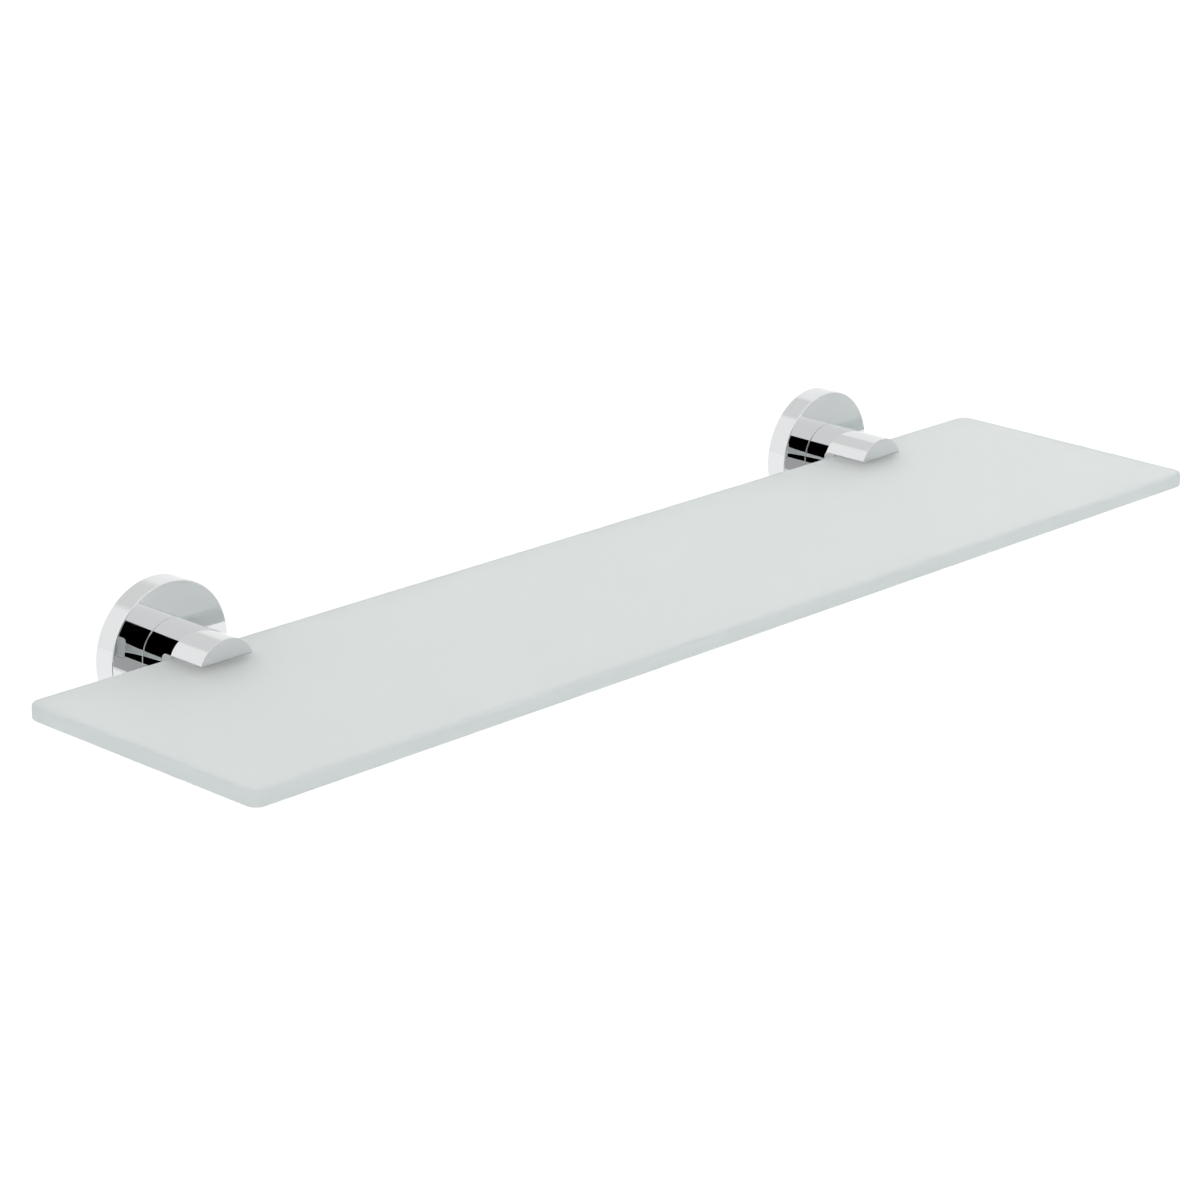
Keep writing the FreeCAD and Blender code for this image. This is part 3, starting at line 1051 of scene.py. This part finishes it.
@dataclass
class Rose:
    """The wall end of a bracket: the brass plate, the hollow rose over it and the screw that locks them."""

    side: str
    finishes: Finishes
    edge: float = 0.4
    back_edge: float = 0.3
    rim_wall: float = 3.0
    face_wall: float = 2.2
    inner_fillet: float = 0.8
    screw_hole: float = 3.25
    pin_hole: float = 1.27
    lock_hole: float = 2.05
    plate_bore: float = 8.0
    plate_undercut: float = 2.5
    plate_break: float = 0.2
    slot_radius: float = 2.25
    slot_rim: float = 4.05
    slot_travel: float = 1.5
    slot_spacing: float = 30.0
    sink_rim: float = 0.3
    point: float = 0.4
    point_edge: float = 0.15
    cone: float = 1.6
    screw_break: float = 0.3
    pitch: float = 0.7
    groove: float = 0.38
    key_flats: float = 2.0
    key_depth: float = 1.6
    key_cone: float = 0.4
    box: Extent = field(init=False)
    middle: Vector = field(init=False)

    def __post_init__(self) -> None:
        """Reads the rose's box and finds the point on the wall at its centre."""
        self.box = Extent.of(f"{self.side}_wall_rose")
        self.middle = self.box.start(Way.OUT)

    def cup(self) -> bpy.types.Object:
        """Makes the rose.

        Returns:
            The rose.
        """
        radius, depth = self.box.radius, self.box.length(Way.OUT)
        inner, floor = radius - self.rim_wall, depth - self.face_wall
        profile = outline(
            [
                (0, floor),
                (inner, floor, self.inner_fillet),
                (inner, self.back_edge / 2),
                (inner + self.back_edge / 2, 0),
                (radius - self.back_edge, 0),
                (radius, self.back_edge),
                (radius, depth, self.edge),
                (0, depth),
            ]
        )
        cup = Work().turned(profile, ROUND_SEGMENTS).moved(Way.OUT, self.middle).done(f"{self.side}_rose")
        pin_at = Vector((0, 0, Extent.of(f"{self.side}_arm_locating_pin").middle.z))
        lock_at = Vector((0, Extent.of(f"{self.side}_rose_lock_screw").middle.y, 0))
        low, high = floor - TOOL_MARGIN, depth + TOOL_MARGIN
        lock_hole = drilled(self.lock_hole, inner - TOOL_MARGIN, radius + TOOL_MARGIN)
        cut(
            cup,
            [
                drilled(self.screw_hole, low, high).moved(Way.OUT, self.middle),
                drilled(self.pin_hole, low, high).moved(Way.OUT, self.middle + pin_at),
                lock_hole.moved(Way.DOWN, self.middle + lock_at),
            ],
        )
        return finished(cup, self.finishes.chrome, f"{self.side}_wall_rose", "brackets")

    def slot(self, thickness: float) -> Work:
        """One countersunk slot of the plate, as a cutting tool.

        Args:
            thickness: the plate's thickness.

        Returns:
            The tool, with the plate's back at height 0.
        """
        sink = self.slot_rim - self.slot_radius
        levels = [
            (self.slot_radius, -TOOL_MARGIN),
            (self.slot_radius, thickness - self.sink_rim - sink),
            (self.slot_rim, thickness - self.sink_rim),
            (self.slot_rim, thickness + TOOL_MARGIN),
        ]
        loops = []
        for radius, height in levels:
            points = []
            for way, first in ((1, -math.pi / 2), (-1, math.pi / 2)):
                for angle in spread(first, first + math.pi, SMALL_SEGMENTS // 2):
                    x = way * self.slot_travel + radius * math.cos(angle)
                    points.append(Vector((x, radius * math.sin(angle), height)))
            loops.append(points)
        return Work().lofted(loops)

    def plate(self) -> bpy.types.Object:
        """Makes the brass plate.

        Returns:
            The plate.
        """
        box = Extent.of(f"{self.side}_wall_plate")
        radius, thickness = box.radius, box.length(Way.OUT)
        bore, broken = self.plate_bore, self.plate_break
        profile = [
            (bore, broken),
            (bore + broken, 0),
            (radius - self.plate_undercut, 0),
            (radius, thickness - broken),
            (radius - broken, thickness),
            (bore + broken, thickness),
            (bore, thickness - broken),
        ]
        plate = Work().turned(profile, ROUND_SEGMENTS, ringed=True).moved(Way.OUT, self.middle)
        made = plate.done(f"{self.side}_plate")
        for height in (self.slot_spacing / 2, -self.slot_spacing / 2):
            cut(made, [self.slot(thickness).moved(Way.OUT, self.middle + Vector((0, 0, height)))])
        brass = TurnedBrass(axis=tuple(self.middle * MM), name=f"turned_brass_{self.side}")
        return finished(made, brass.material(), f"{self.side}_wall_plate", "brackets")

    def lock_screw(self) -> bpy.types.Object:
        """Makes the cone-point screw.

        Returns:
            The screw.
        """
        node = f"{self.side}_rose_lock_screw"
        box = Extent.of(node)
        radius, length = box.radius, box.length(Way.DOWN)
        thread_end = length - self.screw_break
        profile = outline(
            [
                (0, 0),
                (self.point, 0, self.point_edge),
                (radius, self.cone),
                (radius, thread_end),
                (radius - self.screw_break, length),
            ]
        )
        thread = Thread(radius, self.pitch, start=self.cone, end=thread_end, depth=self.groove)
        start = box.start(Way.DOWN)
        screw = Work().turned([*profile, (0, length)], thread=thread)
        made = screw.moved(Way.DOWN, start).done(f"{self.side}_lock_screw")
        key = hexagon(self.key_flats, length - self.key_depth, length + TOOL_MARGIN, self.key_cone)
        cut(made, [key.moved(Way.DOWN, start)])
        return finished(made, self.finishes.stainless, node, node)

    def build(self) -> list[bpy.types.Object]:
        """Makes the three pieces.

        Returns:
            The pieces.
        """
        return [self.plate(), self.cup(), self.lock_screw()]


@dataclass
class Arm:
    """The round arm, whose front end is slotted into two jaws."""

    side: str
    finishes: Finishes
    edge: float = 0.2
    edge_left: float = 0.001       # share of a jaw's corner rounding that is left at its end
    base_edge: float = 0.4
    root: float = 2.0
    screw_bore: float = 3.05
    bore_depth: float = 9.0
    pin_bore: float = 1.27
    pin_depth: float = 4.1
    clamp_bore: float = 3.05
    box: Extent = field(init=False)
    slot: Extent = field(init=False)

    def __post_init__(self) -> None:
        """Reads the arm's box, and the slot's, which is the box of the liner that fills it."""
        self.box = Extent.of(f"{self.side}_arm")
        self.slot = Extent.of(f"{self.side}_glass_liner")

    def corner(self, level: float) -> tuple[float, float, float]:
        """Where a jaw's rounded corner is.

        Args:
            level: distance of the jaw's flat from the arm's axis, negative beyond it.

        Returns:
            The reach and the height of its centre, and the angle at which it leaves the arm's circle.
        """
        height = level + self.edge
        reach = math.sqrt((self.box.radius - self.edge) ** 2 - height**2)
        return reach, height, math.atan2(height, reach)

    def section(self, level: float, up: bool, inset: float, from_wall: float) -> Loop:
        """One jaw's outline: the part of the arm's circle beyond a level, with its two corners rounded.

        Args:
            level: distance of the jaw's flat from the arm's axis, negative beyond it.
            up: whether the jaw is the upper one.
            inset: how far inside the jaw's full outline it is.
            from_wall: how far out it is.

        Returns:
            A closed loop in the shelf's directions, from the arm's axis.
        """
        reach, height, first = self.corner(level)
        large, small = self.box.radius - inset, self.edge - inset
        arc = spread(first, math.pi - first, JAW_STEPS)
        left = spread(math.pi - first, 3 * math.pi / 2, ARC_STEPS)[1:]
        right = spread(-math.pi / 2, first, ARC_STEPS)[:-1]
        points = [(large * math.cos(angle), large * math.sin(angle)) for angle in arc]
        points += [(small * math.cos(angle) - reach, small * math.sin(angle) + height) for angle in left]
        points += [(small * math.cos(angle) + reach, small * math.sin(angle) + height) for angle in right]
        return [Vector((x, -from_wall, z if up else -z)) for x, z in points]

    def shoulder(self, work: Work, upper: float, lower: float) -> Ring:
        """Adds the round part of the arm, up to the slot's back wall.

        Args:
            work: the arm's mesh.
            upper: level of the upper jaw's flat at the back wall.
            lower: level of the lower jaw's flat there.

        Returns:
            Its last ring: over the upper jaw, down the left side, under the lower jaw and up the right side.
        """
        over, under = self.corner(upper)[2], self.corner(lower)[2]
        half, full = math.pi, 2 * math.pi
        angles = [
            *spread(over, half - over, JAW_STEPS),
            *spread(half - over, half + under, SIDE_STEPS)[1:-1],
            *spread(half + under, full - under, JAW_STEPS),
            *spread(full - under, full + over, SIDE_STEPS)[1:-1],
        ]
        stations = [(inset, rise - self.box.high.y) for inset, rise in rounding(self.base_edge)]
        rings = []
        for inset, from_wall in (*stations, (0.0, -self.slot.high.y)):
            radius = self.box.radius - inset
            circle = [Vector((radius * math.cos(a), -from_wall, radius * math.sin(a))) for a in angles]
            rings.append(work.ring(circle))
        for near, far in zip(rings, rings[1:]):
            work.bridge(near, far)
        work.mesh.faces.new(list(reversed(rings[0])))
        return rings[-1]

    def jaw(self, work: Work, shared: Ring, level: float, up: bool) -> Ring:
        """Adds one jaw.

        Args:
            work: the arm's mesh.
            shared: the shoulder's vertices that the jaw's arc grows from.
            level: distance of the jaw's flat from the arm's axis, negative beyond it.
            up: whether it is the upper one.

        Returns:
            Its first ring, where it meets the slot's back wall.
        """
        back, end = -self.slot.high.y, -self.box.low.y
        flat = self.section(level - self.root, up, 0.0, back)[len(shared):]
        loops = []
        for rise, along in rounding(self.root, 2 * ARC_STEPS)[1:]:
            loops.append(self.section(level - rise, up, 0.0, back + along))
        for inset, rise in reversed(rounding(self.edge)):
            loops.append(self.section(level, up, inset * (1 - self.edge_left), end - rise))
        first = shared + work.ring(flat)
        ring = first
        for loop in loops:
            further = work.ring(loop)
            work.bridge(ring, further)
            ring = further
        work.mesh.faces.new(ring)
        return first

    def arm(self) -> bpy.types.Object:
        """Makes the arm.

        Returns:
            The arm.
        """
        top, bottom = self.slot.high.z, -self.slot.low.z
        work = Work()
        shoulder = self.shoulder(work, top - self.root, bottom - self.root)
        arc = JAW_STEPS + 1
        side = SIDE_STEPS - 1
        left, right = shoulder[arc:arc + side], shoulder[-side:]
        lower_arc = shoulder[arc + side:2 * arc + side]
        upper = self.jaw(work, shoulder[:arc], top, True)
        lower = self.jaw(work, list(reversed(lower_arc)), bottom, False)
        wall = [upper[arc - 1], *left, *lower[arc - 1:], lower[0], *right, upper[0], *reversed(upper[arc:])]
        work.mesh.faces.new(wall)
        centre = Vector((self.box.middle.x, 0, self.box.middle.z))
        work.mesh.transform(Matrix.Translation(centre))
        made = work.done(f"{self.side}_slotted_arm")
        pin_at = centre + Vector((0, 0, Extent.of(f"{self.side}_arm_locating_pin").middle.z))
        pad_y = Extent.of(f"{self.side}_clamp_pad").middle.y
        clamp_at = Vector((centre.x, pad_y, TOOL_MARGIN - bottom))
        base = -self.box.high.y
        low = base - TOOL_MARGIN
        drop = self.box.radius - bottom + 3 * TOOL_MARGIN
        cut(
            made,
            [
                drilled(self.screw_bore, low, base + self.bore_depth).moved(Way.OUT, centre),
                drilled(self.pin_bore, low, base + self.pin_depth).moved(Way.OUT, pin_at),
                drilled(self.clamp_bore, 0, drop).moved(Way.DOWN, clamp_at),
            ],
        )
        return finished(made, self.finishes.chrome, f"{self.side}_arm", "brackets")

    def build(self) -> list[bpy.types.Object]:
        """Makes the arm alone, as a list."""
        return [self.arm()]


@dataclass
class Fixing:
    """The screw, lock washer and pin that fix the arm to the rose."""

    side: str
    finishes: Finishes
    head_edge: float = 0.45
    head_height: float = 4.0
    neck_edge: float = 0.1
    shank: float = 3.0
    shank_length: float = 2.4      # plain part of the shank in front of the washer
    screw_break: float = 0.4
    pitch: float = 1.0
    groove: float = 0.55
    key_flats: float = 5.0
    key_depth: float = 2.5
    washer_bore: float = 3.15
    washer_edge: float = 0.12
    washer_gap: float = 1.0
    washer_slant: float = 0.35
    seam: float = 0.01             # between the first and the last point of the washer's section
    pin_tip: float = 0.3
    pin_tip_height: float = 0.35
    pin_edges: tuple[float, float, float] = (0.1, 0.2, 0.3)

    def screw(self) -> bpy.types.Object:
        """Makes the socket-head screw.

        Returns:
            The screw.
        """
        node = f"{self.side}_arm_screw"
        box = Extent.of(node)
        head, length = box.radius, box.length(Way.OUT)
        start = box.start(Way.OUT)
        thread_start = start.y - Extent.of(f"{self.side}_arm_lock_washer").low.y + self.shank_length
        thread_end = length - self.screw_break
        profile = outline(
            [
                (0, 0),
                (head, 0, self.head_edge),
                (head, self.head_height, self.neck_edge),
                (self.shank, self.head_height),
                (self.shank, thread_end),
                (self.shank - self.screw_break, length),
            ]
        )
        thread = Thread(self.shank, self.pitch, start=thread_start, end=thread_end, depth=self.groove)
        work = Work().turned([*profile, (0, length)], thread=thread)
        made = work.moved(Way.OUT, start).done(f"{self.side}_fixing_screw")
        cut(made, [hexagon(self.key_flats, -TOOL_MARGIN, self.key_depth, 0).moved(Way.OUT, start)])
        return finished(made, self.finishes.zinc, node, "brackets")

    def washer(self) -> bpy.types.Object:
        """Makes the split lock washer.

        Returns:
            The washer.
        """
        node = f"{self.side}_arm_lock_washer"
        box = Extent.of(node)
        outer, thickness = box.radius, box.length(Way.OUT)
        inner, soft = self.washer_bore, self.washer_edge
        section = outline(
            [
                (inner, thickness / 2),
                (inner, 0, soft),
                (outer, 0, soft),
                (outer, thickness, soft),
                (inner, thickness, soft),
                (inner, thickness / 2 + self.seam),
            ]
        )
        loops = []
        for share in spread(0, 1, WASHER_STEPS):
            loop = []
            for radius, height in section:
                lean = self.washer_slant * (height / thickness - 0.5) / radius
                gap = self.washer_gap / radius
                angle = math.pi / 2 + gap / 2 + lean + (2 * math.pi - gap) * share
                loop.append(Vector((radius * math.cos(angle), radius * math.sin(angle), height)))
            loops.append(loop)
        made = Work().lofted(loops).moved(Way.OUT, box.start(Way.OUT)).done(f"{self.side}_spring_washer")
        return finished(made, self.finishes.zinc, node, "brackets")

    def pin(self) -> bpy.types.Object:
        """Makes the locating pin.

        Returns:
            The pin.
        """
        node = f"{self.side}_arm_locating_pin"
        box = Extent.of(node)
        radius, length = box.radius, box.length(Way.OUT)
        tip, shoulder, end = self.pin_edges
        profile = outline(
            [
                (0, 0),
                (radius - self.pin_tip, 0, tip),
                (radius, self.pin_tip_height, shoulder),
                (radius, length, end),
                (0, length),
            ]
        )
        work = Work().turned(profile, PIN_SEGMENTS)
        made = work.moved(Way.OUT, box.start(Way.OUT)).done(f"{self.side}_locating_pin")
        return finished(made, self.finishes.zinc, node, "brackets")

    def build(self) -> list[bpy.types.Object]:
        """Makes the three pieces.

        Returns:
            The pieces.
        """
        return [self.screw(), self.washer(), self.pin()]


@dataclass
class Clamp:
    """What grips the glass: the clear liner in the slot, and the pad and screw below it."""

    side: str
    finishes: Finishes
    sheet: float = 0.3
    setback: float = 0.2
    root: float = 2.0
    pad_hole: float = 3.05
    dog: float = 1.7
    dog_length: float = 0.9
    dog_room: float = 0.08
    dog_edge: float = 0.25
    pad_edge: float = 0.35
    pad_rim: float = 0.15
    cup_edge: float = 0.1
    slack: float = 0.03            # between the screw and the pad
    screw_break: float = 0.3
    pitch: float = 1.0
    groove: float = 0.55
    key_flats: float = 3.0
    key_depth: float = 2.6
    key_cone: float = 0.5

    def liner(self) -> bpy.types.Object:
        """Makes the liner: a channel round the glass's back edge, trimmed to the arm's round sides.

        Returns:
            The liner.
        """
        box = Extent.of(f"{self.side}_glass_liner")
        low, high = box.low, box.high
        stop = Extent.of("glass_shelf").high.y
        reach = Extent.of(f"{self.side}_arm").radius - self.setback
        centre = Vector((box.middle.x, 0, 0))
        channel = outline(
            [
                (low.y, high.z),
                (high.y, high.z, self.root),
                (high.y, low.z, self.root),
                (low.y, low.z),
                (low.y, low.z + self.sheet),
                (stop, low.z + self.sheet),
                (stop, high.z - self.sheet),
                (low.y, high.z - self.sheet),
            ]
        )
        ends = (centre.x - reach - TOOL_MARGIN, centre.x + reach + TOOL_MARGIN)
        bar = Work().lofted([[Vector((x, y, z)) for y, z in channel] for x in ends])
        made = bar.done(f"{self.side}_liner")
        wide, far = reach + 5 * TOOL_MARGIN, TOOL_MARGIN - low.y
        tube = [(reach, 0), (wide, 0), (wide, far), (reach, far)]
        round_side = Work().turned(tube, ROUND_SEGMENTS, ringed=True)
        hole_at = Vector((centre.x, Extent.of(f"{self.side}_clamp_pad").middle.y, low.z - TOOL_MARGIN))
        hole = drilled(self.pad_hole, 0, 2 * TOOL_MARGIN + self.sheet)
        cut(made, [round_side.moved(Way.OUT, centre), hole.moved(Way.UP, hole_at)])
        return finished(made, self.finishes.vinyl, f"{self.side}_glass_liner", "brackets")

    def pad(self) -> bpy.types.Object:
        """Makes the swivelling pad.

        Returns:
            The pad.
        """
        node = f"{self.side}_clamp_pad"
        box = Extent.of(node)
        radius, height = box.radius, box.length(Way.DOWN)
        cup, floor = self.dog + self.dog_room, height - self.dog_length
        profile = outline(
            [
                (0, 0),
                (radius, 0, self.pad_edge),
                (radius, height, self.pad_rim),
                (cup, height, self.cup_edge),
                (cup, floor),
                (0, floor),
            ]
        )
        made = Work().turned(profile).moved(Way.DOWN, box.start(Way.DOWN)).done(f"{self.side}_pad")
        return finished(made, self.finishes.nylon, node, node)

    def screw(self) -> bpy.types.Object:
        """Makes the dog-point set screw.

        Returns:
            The screw.
        """
        node = f"{self.side}_clamp_screw"
        box = Extent.of(node)
        radius, length = box.radius, box.length(Way.DOWN)
        broken = self.screw_break
        shoulder = self.dog_length + self.slack
        profile = outline(
            [
                (0, self.slack),
                (self.dog, self.slack, self.dog_edge),
                (self.dog, shoulder),
                (radius - broken, shoulder),
                (radius, shoulder + broken),
                (radius, length - broken),
                (radius - broken, length),
            ]
        )
        thread = Thread(radius, self.pitch, start=shoulder + broken, end=length - broken, depth=self.groove)
        start = box.start(Way.DOWN)
        work = Work().turned([*profile, (0, length)], thread=thread)
        made = work.moved(Way.DOWN, start).done(f"{self.side}_set_screw")
        key = hexagon(self.key_flats, length - self.key_depth, length + TOOL_MARGIN, self.key_cone)
        cut(made, [key.moved(Way.DOWN, start)])
        return finished(made, self.finishes.stainless, node, node)

    def build(self) -> list[bpy.types.Object]:
        """Makes the three pieces.

        Returns:
            The pieces.
        """
        return [self.liner(), self.pad(), self.screw()]


# ---------------------------------------------------------------- studio
def aimed(azimuth: float, elevation: float) -> Vector:
    """The direction at an azimuth and an elevation.

    Args:
        azimuth: from straight in front of the shelf, in degrees, negative to the left.
        elevation: above the horizontal, in degrees.

    Returns:
        The direction, of length 1.
    """
    turn, lift = math.radians(azimuth), math.radians(elevation)
    return Vector((math.sin(turn) * math.cos(lift), -math.cos(turn) * math.cos(lift), math.sin(lift)))


@dataclass
class Camera:
    """The camera, set by where it looks, from which side and how far off."""

    target: tuple[float, float, float] = (-0.0166, -0.0711, 0.0050)
    distance: float = 1.4186
    azimuth: float = -47.13
    elevation: float = 18.34
    roll: float = 0.99
    lens: float = 109.75
    shift: tuple[float, float] = (-0.0086, -0.0198)

    def build(self) -> bpy.types.Object:
        """Sets the camera up.

        Returns:
            The camera.
        """
        data = bpy.data.cameras.new("camera")
        data.lens = self.lens
        data.sensor_width = 36.0
        data.shift_x, data.shift_y = self.shift
        data.clip_start, data.clip_end = 0.05, 200.0
        made = bpy.data.objects.new("camera", data)
        bpy.context.scene.collection.objects.link(made)
        turn = math.radians(self.azimuth)
        back = aimed(self.azimuth, self.elevation)
        right = Vector((math.cos(turn), math.sin(turn), 0.0))
        up = back.cross(right)
        tilt = math.radians(self.roll)
        across = right * math.cos(tilt) + up * math.sin(tilt)
        above = up * math.cos(tilt) - right * math.sin(tilt)
        axes = Matrix((across, above, back)).transposed().to_4x4()
        made.matrix_world = Matrix.Translation(Vector(self.target) + back * self.distance) @ axes
        bpy.context.scene.camera = made
        return made


@dataclass
class Studio:
    """A white room: pale floor, even white surroundings, a softbox and flags that only reflections see."""

    floor_drop: float = 2.2
    floor_size: float = 120.0
    floor_glow: float = 0.12
    floor_cloud: float = 1.5
    white: float = 1.0
    flag_steps: int = 24

    def floor(self) -> bpy.types.Object:
        """Lays the floor.

        Returns:
            The floor.
        """
        half = self.floor_size / 2
        corners = [(-half, -half), (half, -half), (half, half), (-half, half)]
        work = Work()
        work.mesh.faces.new(work.ring(Vector((x / MM, y / MM, -self.floor_drop / MM)) for x, y in corners))
        made = work.done("floor")
        shader = Shader("floor_paper")
        tone = shader.speckle(self.floor_cloud, 2.0)
        made.data.materials.append(
            shader.surface(
                Base_Color=shader.blend(tone, (0.93, 0.93, 0.93), (0.94, 0.94, 0.94)),
                Roughness=0.9,
                Emission_Color=(1.0, 1.0, 1.0, 1.0),
                Emission_Strength=self.floor_glow,
            )
        )
        made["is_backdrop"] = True
        return made

    def surroundings(self) -> None:
        """Makes the even white light that comes from everywhere."""
        world = bpy.data.worlds.new("white_room")
        bpy.context.scene.world = world
        world.use_nodes = True
        background = world.node_tree.nodes["Background"]
        background.inputs["Color"].default_value = (self.white, self.white, self.white, 1.0)
        background.inputs["Strength"].default_value = 1.0

    def softbox(self, name: str, place: Vector, size: float, power: float) -> bpy.types.Object:
        """Hangs a square soft light that faces the shelf.

        Args:
            name: its name.
            place: where it hangs.
            size: its width.
            power: its power in watts.

        Returns:
            The light.
        """
        data = bpy.data.lights.new(name, "AREA")
        data.shape = "SQUARE"
        data.size = size
        data.energy = power
        made = bpy.data.objects.new(name, data)
        made.location = place
        made.rotation_mode = "QUATERNION"
        made.rotation_quaternion = place.to_track_quat("Z", "Y")
        made.visible_glossy = False
        bpy.context.scene.collection.objects.link(made)
        return made

    def flag(
        self,
        name: str,
        tone: float,
        soft: float,
        distance: float,
        left: float,
        right: float,
        low: float,
        high: float,
    ) -> bpy.types.Object:
        """Stands a curved flag round part of the shelf, seen only in reflections.

        Args:
            name: its name.
            tone: its brightness, from 0 for black cloth to 1 for the white of the room.
            soft: how far in from its borders it fades to the white of the room, in degrees.
            distance: how far off it stands.
            left: azimuth of one end, in degrees from straight in front, negative to the left.
            right: azimuth of its other end.
            low: elevation of its lower edge, in degrees.
            high: elevation of its upper edge.

        Returns:
            The flag.
        """
        work = Work()
        turns = spread(left, right, self.flag_steps)
        below = work.ring(aimed(turn, low) * distance / MM for turn in turns)
        above = work.ring(aimed(turn, high) * distance / MM for turn in turns)
        for index in range(self.flag_steps):
            work.mesh.faces.new((below[index], below[index + 1], above[index + 1], above[index]))
        made = work.done(name)
        shader = Shader(f"{name}_cloth")
        middle = math.radians((left + right) / 2)
        ahead = (math.sin(middle), -math.cos(middle), 0.0)
        aside = (math.cos(middle), math.sin(middle), 0.0)
        heading = shader.sum(Sum.HEADING, shader.dot(aside), shader.dot(ahead))
        lift = shader.sum(Sum.LIFT, shader.along("Z") / distance, 0.0)
        half_width, half_height = math.radians((right - left) / 2), math.radians((high - low) / 2)
        margin = math.radians(soft)
        across = abs(heading).between(half_width, half_width - margin)
        upright = abs(lift - math.radians((low + high) / 2)).between(half_height, half_height - margin)
        made.data.materials.append(
            shader.surface(
                Base_Color=(0.0, 0.0, 0.0, 1.0),
                Roughness=1.0,
                Specular_IOR_Level=0.0,
                Emission_Color=shader.blend(across * upright, (1.0, 1.0, 1.0), (tone, tone, tone)),
                Emission_Strength=1.0,
            )
        )
        for ray in ("camera", "diffuse", "transmission", "volume_scatter", "shadow"):
            setattr(made, f"visible_{ray}", False)
        made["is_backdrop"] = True
        return made

    def build(self) -> None:
        """Sets up the whole studio."""
        self.surroundings()
        self.floor()
        self.flag("black_flag", 0.0, soft=0.6, distance=4.0, left=-64.0, right=-5.0, low=-24.0, high=41.0)
        self.flag("high_flag", 0.80, soft=9.0, distance=5.0, left=142.0, right=206.0, low=26.0, high=66.0)
        self.flag("low_flag", 0.53, soft=0.6, distance=2.4, left=-70.0, right=8.0, low=-58.0, high=-23.4)
        self.softbox("right_softbox", Vector((1.0, 0.1, 0.7)), size=0.8, power=2.2)
        view = bpy.context.scene.view_settings
        view.view_transform = "Standard"
        view.look = "None"


# ---------------------------------------------------------------- main
def corners(box: tuple[Vector, Vector]) -> list[list[float]]:
    """A box's two corners as plain lists."""
    return [[float(number) for number in corner] for corner in box]


def main() -> None:
    """Builds the camera, the studio, the glass and both brackets."""
    logging.basicConfig(level=logging.INFO, format="%(name)s: %(message)s")
    Camera().build()
    Studio().build()
    GlassPane().build()
    finishes = Finishes.mixed()
    for side in ("left", "right"):
        for assembly in (Rose, Arm, Fixing, Clamp):
            made = assembly(side, finishes).build()
            LOG.info("%s %s: %d pieces", side, assembly.__name__, len(made))
    {"cad": corners(CAD_BOX), "visual": corners(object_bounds())}


if __name__ == "__main__":
    main()
